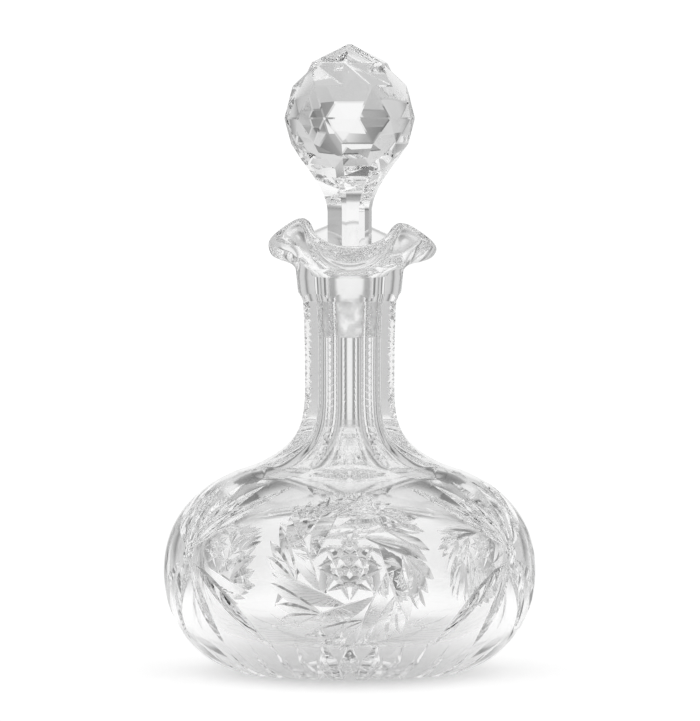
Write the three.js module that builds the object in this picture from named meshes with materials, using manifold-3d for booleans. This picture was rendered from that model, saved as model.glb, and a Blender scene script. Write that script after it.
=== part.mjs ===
// Cut glass cruet: a squat wheel-cut bottle with a fluted, notched neck and a
// lip of three pouring spouts, closed by a faceted ball stopper on a ground plug.
// Millimetres, +Z up. The origin is the centre of the standing face.
import * as THREE from 'three';
import { mergeVertices } from 'three/addons/utils/BufferGeometryUtils.js';
import Module from 'manifold-3d';

// Blank of the bottle, before any cutting
const BASE_RADIUS = 35;
const BELLY_RADIUS = 59.6;
const BELLY_HEIGHT = 32;
const SHOULDER_RADIUS = 36;
const SHOULDER_HEIGHT = 63.9;
const SHOULDER_SLOPE = 0.4;
const WAIST_RADIUS = 15.5;
const WAIST_HEIGHT = 92;
const COLLAR_RADIUS = 16.35;
const COLLAR_HEIGHT = 120.5;
const COLLAR_LENGTH = 5.5;

// Lip: spouts drawn out and down, with a raised crest between each two.
// Heights are above the lip's foot, the top of the collar.
const SPOUTS = 3;
const LIP_FOOT_RADIUS = 17;
const SPOUT_REACH = 30.2;
const SPOUT_HEIGHT = 9.6;
const CREST_RADIUS = 20.2;
const CREST_HEIGHT = 17;
const LIP_THICKNESS = 5;
const MOUTH_EASING = 0.9;

// Inside of the bottle
const FLOOR_THICKNESS = 8;
const BELLY_WALL = 8.5;
const SHOULDER_WALL = 6.5;
const SEAT_TOP_RADIUS = 7.4;
const SEAT_LENGTH = 19.5;
const SEAT_TAPER = 0.045;

// Neck flutes and the notches on the ridges between them
const FLUTES = 8;
const FLUTE_END_RADIUS = 40;
const FLUTE_RUN_OUT = 0.965;
const FLUTE_LIFT_OFF = 0.4;
const RIDGE_SHARPENING = 0.12;
const NOTCH_PITCH = 2.2;
const NOTCH_DEPTH = 0.42;
const NOTCH_HALF_WIDTH = 0.75;
const NOTCH_END_RADIUS = 27;

// Pinwheels, each round an eight-pointed hobstar
const PINWHEELS = 3;
const PINWHEEL_HEIGHT = 37;
const PINWHEEL_VANES = 8;
const RING_RADIUS = 12.1;
const VANE_LENGTH = 28.4;
const VANE_DEPTH = 1.5;
const VANE_BROAD_SIDE = 5;
const VANE_STEEP_SIDE = 1.3;
const SPRAY_START = 0.62;
const SPRAY_LEAVES = [
  { turn: -0.28, length: 14.5 },
  { turn: -0.58, length: 16.5 },
  { turn: -0.88, length: 20.5 },
];
const SPRAY_DEPTH = 0.95;
const SPRAY_HALF_WIDTH = 1.55;
const STAR_RADIUS = 10.6;
const STAR_DEPTH = 0.9;
const STAR_HALF_WIDTH = 1.4;

// Fans of long leaves at the corners between the pinwheel windows
const CORNER_HEIGHT = 39.7;
const CORNER_LENS_LENGTH = 9;
const UPPER_FAN_TURNS = [-39, -23, -8, 8, 23, 39];
const LOWER_FAN_TURNS = [-34, -13, 13, 34];
const UPPER_FAN_HEIGHT = 62;
const LOWER_FAN_HEIGHT = 10;
const UPPER_FAN_BOW = 1.8;
const LOWER_FAN_BOW = 3;
const FAN_DEPTH = 1.4;
const FAN_BROAD_SIDE = 3.4;
const FAN_STEEP_SIDE = 1.4;

// Star under the base
const BASE_RAYS = 30;
const RAY_START_RADIUS = 7;
const RAY_TIP_HEIGHT = 12.5;
const RAY_DEPTH = 3.3;
const RAY_HALF_WIDTH = 3;

// Stopper. Its rises are above the lip's foot, and the ball's is to its belt.
const PLUG_CLEARANCE = 0.3;
const PLUG_RISE = 1;
const PLUG_LENGTH = 20.4;
const SHANK_RADIUS = 7.6;
const SHANK_WAIST_RISE = 20;
const BALL_RISE = 50.1;
const BALL_RADIUS = 21;
const BALL_TOP = 23.9;
const BALL_TURN = -7.5;

// Fineness of the turned forms
const BLANK_SIDES = 36;
const CAVITY_SIDES = 24;
const PLUG_SIDES = 24;

// How far cutters stand clear of the glass they cut
const CUTTER_LIFT = 2;

const FULL_TURN = 2 * Math.PI;
const FIRST_SIDE = Math.PI / BLANK_SIDES;
const HALF_FLUTE = Math.PI / FLUTES;
const degrees = THREE.MathUtils.degToRad;
const { lerp } = THREE.MathUtils;

const wasm = await Module();
wasm.setup();

// A point at an azimuth round the bottle: 0 faces -Y and it grows towards +X
function roundAxis(radius, azimuth, height) {
  return new THREE.Vector3(radius * Math.sin(azimuth), -radius * Math.cos(azimuth), height);
}

function closedGeometry(points, indices) {
  const geometry = new THREE.BufferGeometry().setFromPoints(points);
  geometry.setIndex(indices);
  return geometry;
}

// A ring of points round the axis; section(azimuth) gives each point
function ring(sides, firstAzimuth, section) {
  const points = [];
  for (let i = 0; i < sides; i += 1) {
    points.push(section(firstAzimuth + (i * FULL_TURN) / sides));
  }
  return { points, firstAzimuth };
}

function roundRing(sides, radius, height, firstAzimuth = 0) {
  return ring(sides, firstAzimuth, (azimuth) => roundAxis(radius, azimuth, height));
}

function pole(height) {
  return { points: [new THREE.Vector3(0, 0, height)], firstAzimuth: 0 };
}

// Skins a stack of rings from the bottom up. Rings may differ in their number
// of points: the walk steps to whichever next point comes first round the axis.
function skinRings(rings) {
  const points = [];
  const indices = [];
  const starts = rings.map(({ points: own }) => {
    const start = points.length;
    points.push(...own);
    return start;
  });
  for (let level = 0; level < rings.length - 1; level += 1) {
    const [lower, upper] = [rings[level], rings[level + 1]];
    const lowerCount = lower.points.length === 1 ? 0 : lower.points.length;
    const upperCount = upper.points.length === 1 ? 0 : upper.points.length;
    const azimuthOf = (band, count, i) => band.firstAzimuth + (i * FULL_TURN) / count;
    const indexOf = (start, count, i) => start + (count === 0 ? 0 : i % count);
    let i = 0;
    let j = 0;
    while (i < lowerCount || j < upperCount) {
      const lowerNext = i < lowerCount ? azimuthOf(lower, lowerCount, i + 1) : Infinity;
      const upperNext = j < upperCount ? azimuthOf(upper, upperCount, j + 1) : Infinity;
      const a = indexOf(starts[level], lowerCount, i);
      const b = indexOf(starts[level + 1], upperCount, j);
      if (lowerNext <= upperNext) {
        indices.push(a, indexOf(starts[level], lowerCount, i + 1), b);
        i += 1;
      } else {
        indices.push(a, indexOf(starts[level + 1], upperCount, j + 1), b);
        j += 1;
      }
    }
  }
  return closedGeometry(points, indices);
}

// Skins a row of like sections, each a convex loop, and caps both ends
function skinSections(sections) {
  const points = sections.flat();
  const indices = [];
  const size = sections[0].length;
  for (let s = 0; s < sections.length - 1; s += 1) {
    for (let i = 0; i < size; i += 1) {
      const a = s * size + i;
      const b = s * size + ((i + 1) % size);
      indices.push(a, a + size, b, b, a + size, b + size);
    }
  }
  const last = points.length - size;
  for (let i = 1; i < size - 1; i += 1) {
    indices.push(0, i, i + 1);
    indices.push(last, last + i + 1, last + i);
  }
  return closedGeometry(points, indices);
}

function solidOf(geometry) {
  const bare = geometry.clone();
  bare.deleteAttribute('normal');
  bare.deleteAttribute('uv');
  const merged = mergeVertices(bare, 1e-5);
  return new wasm.Manifold(new wasm.Mesh({
    numProp: 3,
    vertProperties: new Float32Array(merged.attributes.position.array),
    triVerts: new Uint32Array(merged.index.array),
  }));
}

function geometryOf(solid) {
  const mesh = solid.getMesh();
  const geometry = new THREE.BufferGeometry();
  geometry.setAttribute('position', new THREE.BufferAttribute(mesh.vertProperties, 3));
  geometry.setIndex(new THREE.BufferAttribute(mesh.triVerts, 1));
  geometry.computeVertexNormals();
  return geometry;
}

// Outline of the blank from the centre of the base up to the collar
const at = (radius, height) => new THREE.Vector2(radius, height);
const flank = new THREE.CubicBezierCurve(
  at(BASE_RADIUS, 0),
  at(lerp(BASE_RADIUS, BELLY_RADIUS, 0.63), BELLY_HEIGHT * 0.11),
  at(BELLY_RADIUS, BELLY_HEIGHT * 0.53),
  at(BELLY_RADIUS, BELLY_HEIGHT),
);
const shoulderRun = (BELLY_RADIUS - SHOULDER_RADIUS) * 0.74;
const shoulder = new THREE.CubicBezierCurve(
  at(BELLY_RADIUS, BELLY_HEIGHT),
  at(BELLY_RADIUS, lerp(BELLY_HEIGHT, SHOULDER_HEIGHT, 0.4)),
  at(SHOULDER_RADIUS + shoulderRun, SHOULDER_HEIGHT - shoulderRun * SHOULDER_SLOPE),
  at(SHOULDER_RADIUS, SHOULDER_HEIGHT),
);
const sweepRun = (SHOULDER_RADIUS - WAIST_RADIUS) * 0.92;
const neckSweep = new THREE.CubicBezierCurve(
  at(SHOULDER_RADIUS, SHOULDER_HEIGHT),
  at(SHOULDER_RADIUS - sweepRun, SHOULDER_HEIGHT + sweepRun * SHOULDER_SLOPE),
  at(WAIST_RADIUS, lerp(SHOULDER_HEIGHT, WAIST_HEIGHT, 0.5)),
  at(WAIST_RADIUS, WAIST_HEIGHT),
);
const neckRise = new THREE.QuadraticBezierCurve(
  at(WAIST_RADIUS, WAIST_HEIGHT),
  at(WAIST_RADIUS, lerp(WAIST_HEIGHT, COLLAR_HEIGHT, 0.6)),
  at(COLLAR_RADIUS, COLLAR_HEIGHT),
);
const outline = new THREE.CurvePath();
outline.add(new THREE.LineCurve(at(0, 0), at(BASE_RADIUS, 0)));
outline.add(flank);
outline.add(shoulder);
outline.add(neckSweep);
outline.add(neckRise);
const OUTLINE_LENGTH = outline.getLength();

// How far along the outline a height, or a radius on the way in, is reached
function runWhere(reached) {
  let low = BASE_RADIUS;
  let high = OUTLINE_LENGTH;
  for (let step = 0; step < 40; step += 1) {
    const middle = (low + high) / 2;
    if (reached(outline.getPointAt(middle / OUTLINE_LENGTH))) high = middle;
    else low = middle;
  }
  return low;
}
const runAtHeight = (height) => runWhere((point) => point.y >= height);
const runAtNarrowing = (radius) => runWhere(({ x, y }) => y > BELLY_HEIGHT && x <= radius);

// The skin of the blank at an azimuth and a run along the outline
function skinAt(azimuth, run) {
  const share = THREE.MathUtils.clamp(run / OUTLINE_LENGTH, 0, 1);
  const point = outline.getPointAt(share);
  const tangent = outline.getTangentAt(share);
  return {
    radius: point.x,
    position: roundAxis(point.x, azimuth, point.y),
    normal: roundAxis(tangent.y, azimuth, -tangent.x).normalize(),
    sideways: roundAxis(1, azimuth + Math.PI / 2, 0),
  };
}

// A flat drawing laid on the skin: x runs round the bottle, y up its outline
function drawingBoard(azimuth, height) {
  const run = runAtHeight(height);
  return (x, y) => {
    const { radius } = skinAt(azimuth, run + y);
    return skinAt(azimuth + x / radius, run + y);
  };
}

// Depth of a leaf cut along its length: nought at both tips, one at its deepest
function leafDepth(t, deepest) {
  const towardsTip = t < deepest ? (deepest - t) / deepest : (t - deepest) / (1 - deepest);
  return 1 - 1.1 * towardsTip ** 2;
}

// A mitre wheel's cut along a line on the skin. Its two faces meet in a keel
// that dives from one tip and rises to the other; their widths at the deepest
// place set how broad or steep each face is.
function leafCutter(stations, cut) {
  const { depth, left, right, depthAt } = cut;
  const last = stations.length - 1;
  const sections = stations.map(({ position, normal }, i) => {
    const before = stations[Math.max(i - 1, 0)].position;
    const after = stations[Math.min(i + 1, last)].position;
    const ahead = after.clone().sub(before).normalize();
    const leftward = normal.clone().cross(ahead).normalize();
    const dive = depth * depthAt(i / last);
    const reach = (dive + CUTTER_LIFT) / depth;
    const rim = position.clone().addScaledVector(normal, CUTTER_LIFT);
    return [
      position.clone().addScaledVector(normal, -dive),
      rim.clone().addScaledVector(leftward, -right * reach),
      rim.clone().addScaledVector(leftward, left * reach),
    ];
  });
  return skinSections(sections);
}

// A leaf on a drawing board, from one point to another, bowed to the left of
// the straight line by the bow's height
function leafBetween(board, [x0, y0], [x1, y1], cut, steps, bow = 0) {
  const length = Math.hypot(x1 - x0, y1 - y0);
  const [aheadX, aheadY] = [(x1 - x0) / length, (y1 - y0) / length];
  const stations = [];
  for (let i = 0; i <= steps; i += 1) {
    const t = i / steps;
    const aside = bow * 4 * t * (1 - t);
    stations.push(board(lerp(x0, x1, t) - aheadY * aside, lerp(y0, y1, t) + aheadX * aside));
  }
  return leafCutter(stations, cut);
}

const polar = (radius, angle) => [radius * Math.cos(angle), radius * Math.sin(angle)];
const offset = ([x, y], radius, angle) => [
  x + radius * Math.cos(angle),
  y + radius * Math.sin(angle),
];

// Eight vanes, each along a side of an octagon and on past the next corner,
// with a spray of small leaves springing from its outer half
function pinwheelCutters(board) {
  const vaneCut = {
    depth: VANE_DEPTH,
    left: VANE_BROAD_SIDE,
    right: VANE_STEEP_SIDE,
    depthAt: (t) => leafDepth(t, 0.58),
  };
  const sprayCut = {
    depth: SPRAY_DEPTH,
    left: SPRAY_HALF_WIDTH,
    right: SPRAY_HALF_WIDTH,
    depthAt: (t) => leafDepth(t, 0.6),
  };
  const cutters = [];
  for (let vane = 0; vane < PINWHEEL_VANES; vane += 1) {
    const corner = Math.PI / 2 - (vane * FULL_TURN) / PINWHEEL_VANES;
    const heading = corner - Math.PI / 2 - Math.PI / PINWHEEL_VANES;
    const start = polar(RING_RADIUS, corner);
    cutters.push(leafBetween(board, start, offset(start, VANE_LENGTH, heading), vaneCut, 4));
    const spring = offset(start, VANE_LENGTH * SPRAY_START, heading);
    for (const { turn, length } of SPRAY_LEAVES) {
      const tip = offset(spring, length, heading + turn);
      cutters.push(leafBetween(board, spring, tip, sprayCut, 2));
    }
  }
  return cutters;
}

// The hobstar: chords joining every third point of eight, and four lines
// through the centre of the small octagon that the chords leave
function hobstarCutters(board) {
  const starCut = {
    depth: STAR_DEPTH,
    left: STAR_HALF_WIDTH,
    right: STAR_HALF_WIDTH,
    depthAt: (t) => leafDepth(t, 0.5),
  };
  const cutters = [];
  const pointAt = (radius, i) => polar(radius, (i * FULL_TURN) / PINWHEEL_VANES);
  for (let i = 0; i < PINWHEEL_VANES; i += 1) {
    cutters.push(leafBetween(board, pointAt(STAR_RADIUS, i), pointAt(STAR_RADIUS, i + 3), starCut, 2));
  }
  const heartRadius = STAR_RADIUS * 0.45;
  for (let i = 0; i < PINWHEEL_VANES / 2; i += 1) {
    cutters.push(leafBetween(
      board,
      pointAt(heartRadius, i),
      pointAt(heartRadius, i + PINWHEEL_VANES / 2),
      starCut,
      2,
    ));
  }
  return cutters;
}

// Fans of long leaves from a corner up to the shoulder and down to the base
// star, with a small lens where they spring. The outer leaves bow towards the
// windows beside them.
function cornerCutters(azimuth) {
  const board = drawingBoard(azimuth, CORNER_HEIGHT);
  const cornerRun = runAtHeight(CORNER_HEIGHT);
  const cutters = [];
  const addFan = (turns, tipHeight, widestBow) => {
    const tipRun = runAtHeight(tipHeight);
    const tipRadius = skinAt(azimuth, tipRun).radius;
    const rising = tipHeight > CORNER_HEIGHT;
    for (const turn of turns) {
      const windowOnLeft = turn > 0 !== rising;
      const cut = {
        depth: FAN_DEPTH,
        left: windowOnLeft ? FAN_BROAD_SIDE : FAN_STEEP_SIDE,
        right: windowOnLeft ? FAN_STEEP_SIDE : FAN_BROAD_SIDE,
        depthAt: (t) => leafDepth(t, 0.5),
      };
      const bow = (widestBow * (windowOnLeft ? 1 : -1) * Math.abs(turn)) / Math.max(...turns);
      const tip = [degrees(turn) * tipRadius, tipRun - cornerRun];
      cutters.push(leafBetween(board, [tip[0] * 0.06, tip[1] * 0.06], tip, cut, 3, bow));
    }
  };
  addFan(UPPER_FAN_TURNS, UPPER_FAN_HEIGHT, UPPER_FAN_BOW);
  addFan(LOWER_FAN_TURNS, LOWER_FAN_HEIGHT, LOWER_FAN_BOW);
  const lensCut = {
    depth: FAN_DEPTH,
    left: FAN_BROAD_SIDE,
    right: FAN_BROAD_SIDE,
    depthAt: (t) => leafDepth(t, 0.5),
  };
  const half = CORNER_LENS_LENGTH / 2;
  cutters.push(leafBetween(board, [0, -half], [0, half], lensCut, 2));
  return cutters;
}

// Rays under the base, deepest by its edge, where they meet, and turning up the
// flank to their tips
function baseRayCutters() {
  const tipRun = runAtHeight(RAY_TIP_HEIGHT);
  const steps = 4;
  const rayCut = {
    depth: RAY_DEPTH,
    left: RAY_HALF_WIDTH,
    right: RAY_HALF_WIDTH,
    depthAt: (t) => (t < 0.5 ? t / 0.5 : 1 - 1.05 * ((t - 0.5) / 0.5)),
  };
  const cutters = [];
  for (let ray = 0; ray < BASE_RAYS; ray += 1) {
    const azimuth = (ray * FULL_TURN) / BASE_RAYS;
    const stations = [];
    for (let i = 0; i <= steps; i += 1) {
      stations.push(skinAt(azimuth, lerp(RAY_START_RADIUS, tipRun, i / steps)));
    }
    cutters.push(leafCutter(stations, rayCut));
  }
  return cutters;
}

// A flute's wheel follows the neck's outline. It lifts off on the shoulder, so
// that the flute ends in a scallop, and runs out under the collar.
function fluteCutter(azimuth) {
  const collarRun = OUTLINE_LENGTH;
  const endRun = runAtNarrowing(FLUTE_END_RADIUS);
  const stations = 12;
  const shares = [];
  for (let i = 0; i < stations; i += 1) shares.push(i / stations);
  shares.push(FLUTE_RUN_OUT, 1);
  const sections = [];
  for (const share of shares) {
    const { radius, position, normal, sideways } = skinAt(azimuth, lerp(endRun - 3, collarRun, share));
    const outward = roundAxis(1, azimuth, 0).dot(normal);
    const fullDepth = radius * (1 - Math.cos(HALF_FLUTE)) * outward + RIDGE_SHARPENING;
    const lifted = THREE.MathUtils.smoothstep(share, 0, 0.22);
    const kept = 1 - 0.75 * THREE.MathUtils.smoothstep(share, FLUTE_RUN_OUT, 1);
    const depth = lerp(-FLUTE_LIFT_OFF, fullDepth, lifted) * kept;
    const halfWidth = radius * Math.tan(HALF_FLUTE) * 1.1 + 0.5;
    const lift = fullDepth + CUTTER_LIFT;
    const place = (side, rise) => position.clone()
      .addScaledVector(sideways, side)
      .addScaledVector(normal, rise);
    sections.push([
      place(halfWidth, -depth),
      place(halfWidth, lift),
      place(-halfWidth, lift),
      place(-halfWidth, -depth),
    ]);
  }
  for (const corner of sections[sections.length - 1]) corner.z = COLLAR_HEIGHT;
  return skinSections(sections);
}

// Notches across one ridge, from the collar down and out on to the shoulder
function ridgeNotchCutters(azimuth) {
  const firstRun = OUTLINE_LENGTH - NOTCH_PITCH;
  const lastRun = runAtNarrowing(NOTCH_END_RADIUS);
  const cutters = [];
  for (let run = firstRun; run > lastRun; run -= NOTCH_PITCH) {
    const { position, normal, sideways } = skinAt(azimuth, run);
    const along = sideways.clone().cross(normal);
    const lift = 3 * NOTCH_DEPTH;
    const halfMouth = NOTCH_HALF_WIDTH * ((NOTCH_DEPTH + lift) / NOTCH_DEPTH);
    const halfLength = 4 * NOTCH_DEPTH;
    const place = (side, rise, shift) => position.clone()
      .addScaledVector(sideways, side)
      .addScaledVector(normal, rise - RIDGE_SHARPENING)
      .addScaledVector(along, shift);
    const section = (side) => [
      place(side, -NOTCH_DEPTH, 0),
      place(side, lift, halfMouth),
      place(side, lift, -halfMouth),
    ];
    cutters.push(skinSections([section(-halfLength), section(halfLength)]));
  }
  return cutters;
}

// Share of a spout at an azimuth: one in its middle, nought at a crest. The
// front, at azimuth 0, is a spout.
function spoutShare(azimuth) {
  return (1 + Math.cos(SPOUTS * azimuth)) / 2;
}

// Rings of the lip, up its outside, over its rim and down into the mouth. Each
// is blended between the outline at a crest and the outline along a spout.
function lipRings() {
  const foot = COLLAR_HEIGHT + COLLAR_LENGTH;
  const thick = LIP_THICKNESS;
  const mouth = SEAT_TOP_RADIUS + MOUTH_EASING;
  const [base, crest, tip] = [LIP_FOOT_RADIUS, CREST_RADIUS, SPOUT_REACH];
  const top = foot + CREST_HEIGHT;
  const rim = foot + SPOUT_HEIGHT;
  const crestAndSpout = [
    [at(base - 0.1, foot + 2.6), at(base + 0.7, foot + 1.5)],
    [at(lerp(base, crest, 0.1), lerp(foot, top, 0.36)), at(lerp(base, tip, 0.25), rim - thick - 1.7)],
    [at(lerp(base, crest, 0.6), lerp(foot, top, 0.66)), at(lerp(base, tip, 0.64), rim - thick - 0.5)],
    [at(crest - 0.1, top - 2.1), at(lerp(base, tip, 0.92), rim - thick + 0.7)],
    [at(crest, top - 0.8), at(tip, rim - thick + 3.1)],
    [at(crest - 1, top), at(tip - 1, rim - 0.5)],
    [at(crest - 2.6, top - 0.3), at(tip - 3.2, rim)],
    [at(crest - thick * 0.9, top - 2.6), at(tip - 6.8, rim - 0.9)],
    [at(crest - thick - 1.6, top - 8), at(lerp(mouth, tip, 0.47), rim - 2.6)],
    [at(lerp(mouth, crest - thick, 0.4), foot + 4.8), at(lerp(mouth, tip, 0.22), foot + 3.9)],
    [at(mouth, foot + 1.2), at(mouth, foot + 1.2)],
  ];
  return crestAndSpout.map(([low, high]) => ring(BLANK_SIDES, FIRST_SIDE, (azimuth) => {
    const share = spoutShare(azimuth);
    return roundAxis(lerp(low.x, high.x, share), azimuth, lerp(low.y, high.y, share));
  }));
}

// The blown blank: flat base, belly, shoulder, neck, collar and lip
function blankSolid() {
  const rings = [pole(0)];
  const addCurve = (curve, steps) => {
    for (let i = 0; i < steps; i += 1) {
      const { x, y } = curve.getPoint(i / steps);
      rings.push(roundRing(BLANK_SIDES, x, y, FIRST_SIDE));
    }
  };
  addCurve(flank, 4);
  addCurve(shoulder, 5);
  addCurve(neckSweep, 5);
  addCurve(neckRise, 2);
  const foot = COLLAR_HEIGHT + COLLAR_LENGTH;
  rings.push(roundRing(BLANK_SIDES, COLLAR_RADIUS, COLLAR_HEIGHT, FIRST_SIDE));
  rings.push(roundRing(BLANK_SIDES, LIP_FOOT_RADIUS, foot, FIRST_SIDE));
  rings.push(...lipRings());
  rings.push(roundRing(BLANK_SIDES, SEAT_TOP_RADIUS + 0.4, foot, FIRST_SIDE));
  rings.push(pole(foot));
  return solidOf(skinRings(rings));
}

// The hollow: belly, shoulder, bore and the tapered seat of the plug
function cavitySolid() {
  const foot = COLLAR_HEIGHT + COLLAR_LENGTH;
  const boreRadius = SEAT_TOP_RADIUS - SEAT_LENGTH * SEAT_TAPER;
  const bellyRadius = BELLY_RADIUS - BELLY_WALL;
  const roofHeight = SHOULDER_HEIGHT - SHOULDER_WALL;
  const lower = new THREE.CubicBezierCurve(
    at(BASE_RADIUS * 0.65, FLOOR_THICKNESS),
    at(bellyRadius * 0.86, FLOOR_THICKNESS),
    at(bellyRadius, BELLY_HEIGHT * 0.6),
    at(bellyRadius, BELLY_HEIGHT + 2),
  );
  const roofRun = (bellyRadius - boreRadius) * 0.42;
  const middle = at((bellyRadius + boreRadius) * 0.5, roofHeight);
  const upper = new THREE.CubicBezierCurve(
    at(bellyRadius, BELLY_HEIGHT + 2),
    at(bellyRadius, lerp(BELLY_HEIGHT, roofHeight, 0.6)),
    at(middle.x + roofRun * 0.8, roofHeight - roofRun * 0.32),
    middle,
  );
  const throat = new THREE.CubicBezierCurve(
    middle,
    at(middle.x - roofRun, roofHeight + roofRun * 0.4),
    at(boreRadius, lerp(roofHeight, WAIST_HEIGHT, 0.4)),
    at(boreRadius, WAIST_HEIGHT - 4),
  );
  const rings = [pole(FLOOR_THICKNESS)];
  const addCurve = (curve, steps) => {
    for (let i = 0; i < steps; i += 1) {
      const { x, y } = curve.getPoint(i / steps);
      rings.push(roundRing(CAVITY_SIDES, x, y));
    }
  };
  addCurve(lower, 4);
  addCurve(upper, 4);
  addCurve(throat, 5);
  rings.push(roundRing(CAVITY_SIDES, boreRadius, WAIST_HEIGHT - 4));
  rings.push(roundRing(CAVITY_SIDES, boreRadius, foot - SEAT_LENGTH));
  rings.push(roundRing(CAVITY_SIDES, SEAT_TOP_RADIUS, foot));
  rings.push(roundRing(CAVITY_SIDES, SEAT_TOP_RADIUS, foot + 1));
  rings.push(pole(foot + 1));
  return solidOf(skinRings(rings));
}

function bottleGeometry() {
  const cutters = [...baseRayCutters()];
  for (let i = 0; i < PINWHEELS; i += 1) {
    const azimuth = (i * FULL_TURN) / PINWHEELS;
    const board = drawingBoard(azimuth, PINWHEEL_HEIGHT);
    cutters.push(...pinwheelCutters(board), ...hobstarCutters(board));
    cutters.push(...cornerCutters(azimuth + Math.PI / PINWHEELS));
  }
  for (let i = 0; i < FLUTES; i += 1) {
    const azimuth = (i * FULL_TURN) / FLUTES;
    cutters.push(fluteCutter(azimuth));
    cutters.push(...ridgeNotchCutters(azimuth + HALF_FLUTE));
  }
  let glass = blankSolid().subtract(cavitySolid());
  for (const cutter of cutters) glass = glass.subtract(solidOf(cutter));
  return geometryOf(glass);
}

// The stopper, from the foot of its plug to the crown of its ball. Triangular
// facets meet at corners: six under the crown, twelve above the belt and on it
// and twelve below, then the six corners of the shank's flare.
function stopperGeometry() {
  const foot = COLLAR_HEIGHT + COLLAR_LENGTH;
  const plugTop = foot + PLUG_RISE;
  const plugFoot = plugTop - PLUG_LENGTH;
  const boreRadius = SEAT_TOP_RADIUS - SEAT_LENGTH * SEAT_TAPER;
  const plugRadiusAt = (height) => Math.min(
    SEAT_TOP_RADIUS - PLUG_CLEARANCE,
    Math.max(boreRadius, SEAT_TOP_RADIUS - (foot - height) * SEAT_TAPER) - PLUG_CLEARANCE,
  );
  const turn = degrees(BALL_TURN);
  const halfStep = degrees(15);
  const belt = foot + BALL_RISE;
  const waist = foot + SHANK_WAIST_RISE;
  // A ring of corners at one radius, or at two by turns
  const corners = (count, radii, height, azimuth) => {
    const points = [];
    for (let i = 0; i < count; i += 1) {
      const radius = BALL_RADIUS * radii[i % radii.length];
      points.push(roundAxis(radius, azimuth + (i * FULL_TURN) / count, belt + BALL_TOP * height));
    }
    return { points, firstAzimuth: azimuth };
  };
  const ballFoot = at(BALL_RADIUS * 0.805, belt - BALL_TOP * 0.53);
  const flare = new THREE.CubicBezierCurve(
    at(SHANK_RADIUS, waist),
    at(SHANK_RADIUS, lerp(waist, ballFoot.y, 0.32)),
    at(lerp(SHANK_RADIUS, ballFoot.x, 0.43), lerp(waist, ballFoot.y, 0.63)),
    ballFoot,
  );
  const rings = [
    pole(plugFoot),
    roundRing(PLUG_SIDES, plugRadiusAt(plugFoot) - 0.5, plugFoot),
    roundRing(PLUG_SIDES, plugRadiusAt(plugFoot + 0.5), plugFoot + 0.5),
    roundRing(PLUG_SIDES, plugRadiusAt(foot), foot),
    roundRing(PLUG_SIDES, plugRadiusAt(plugTop), plugTop),
    roundRing(6, SHANK_RADIUS, lerp(plugTop, waist, 0.35), turn),
  ];
  const flareSteps = 7;
  for (let i = 0; i <= flareSteps; i += 1) {
    const { x, y } = flare.getPoint(i / flareSteps);
    rings.push(roundRing(6, x, y, turn));
  }
  rings.push(
    corners(12, [0.885, 0.9], -0.33, turn),
    corners(12, [1], 0, turn + halfStep),
    corners(12, [0.8, 0.876], 0.431, turn),
    corners(6, [0.62], 0.745, turn),
    pole(belt + BALL_TOP),
  );
  const geometry = skinRings(rings);
  geometry.computeVertexNormals();
  return geometry;
}

function namedMesh(name, geometry, material) {
  const mesh = new THREE.Mesh(geometry, material);
  mesh.name = name;
  return mesh;
}

const glassLook = { roughness: 0.05, metalness: 0, transparent: true, opacity: 0.4, flatShading: true };
const bottleGlass = new THREE.MeshStandardMaterial({ color: 0xe6eaeb, ...glassLook });
const stopperGlass = new THREE.MeshStandardMaterial({ color: 0xe0e5e7, ...glassLook });

const cruet = new THREE.Group();
cruet.add(namedMesh('bottle', bottleGeometry(), bottleGlass));
cruet.add(namedMesh('stopper', stopperGeometry(), stopperGlass));

export default cruet;
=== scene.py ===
"""The looks of a cut glass cruet: fine meshes of the cut bottle and its faceted
stopper, their glass, a pale floor, soft light and the camera. The drawings below
are in millimetres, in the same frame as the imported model; meshes are in metres."""
import math
import random

import bmesh
import bpy
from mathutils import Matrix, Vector


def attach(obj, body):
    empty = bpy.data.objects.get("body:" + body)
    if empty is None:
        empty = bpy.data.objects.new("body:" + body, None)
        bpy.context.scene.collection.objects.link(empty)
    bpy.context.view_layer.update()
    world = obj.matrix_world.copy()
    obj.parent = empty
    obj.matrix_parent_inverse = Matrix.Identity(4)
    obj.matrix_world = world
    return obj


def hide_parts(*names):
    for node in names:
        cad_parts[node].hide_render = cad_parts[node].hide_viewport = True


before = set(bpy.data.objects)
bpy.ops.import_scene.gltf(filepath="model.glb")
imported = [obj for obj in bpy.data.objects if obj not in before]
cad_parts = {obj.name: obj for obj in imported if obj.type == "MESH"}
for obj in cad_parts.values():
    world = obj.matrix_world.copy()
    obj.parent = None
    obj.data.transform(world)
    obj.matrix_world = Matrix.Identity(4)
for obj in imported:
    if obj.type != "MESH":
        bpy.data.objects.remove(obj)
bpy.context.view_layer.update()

MM = 0.001
FULL_TURN = 2 * math.pi

# Blank of the bottle, before any cutting
BASE_RADIUS = 35
BELLY_RADIUS = 59.35
BELLY_HEIGHT = 32
SHOULDER_RADIUS = 36
SHOULDER_HEIGHT = 63.9
SHOULDER_SLOPE = 0.4
WAIST_RADIUS = 15.5
WAIST_HEIGHT = 92
COLLAR_RADIUS = 16.3
COLLAR_HEIGHT = 120.5
COLLAR_LENGTH = 5.5
FOOT = COLLAR_HEIGHT + COLLAR_LENGTH

# Lip: three spouts drawn out and down, with a raised crest between each two
SPOUTS = 3
LIP_FOOT_RADIUS = 17
SPOUT_REACH = 30.2
SPOUT_HEIGHT = 9.6
CREST_RADIUS = 20.2
CREST_HEIGHT = 17
LIP_THICKNESS = 5
UNEVEN_AZIMUTH = math.radians(-100)
UNEVEN_RISE = 1.9
UNEVEN_REACH = -2

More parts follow.
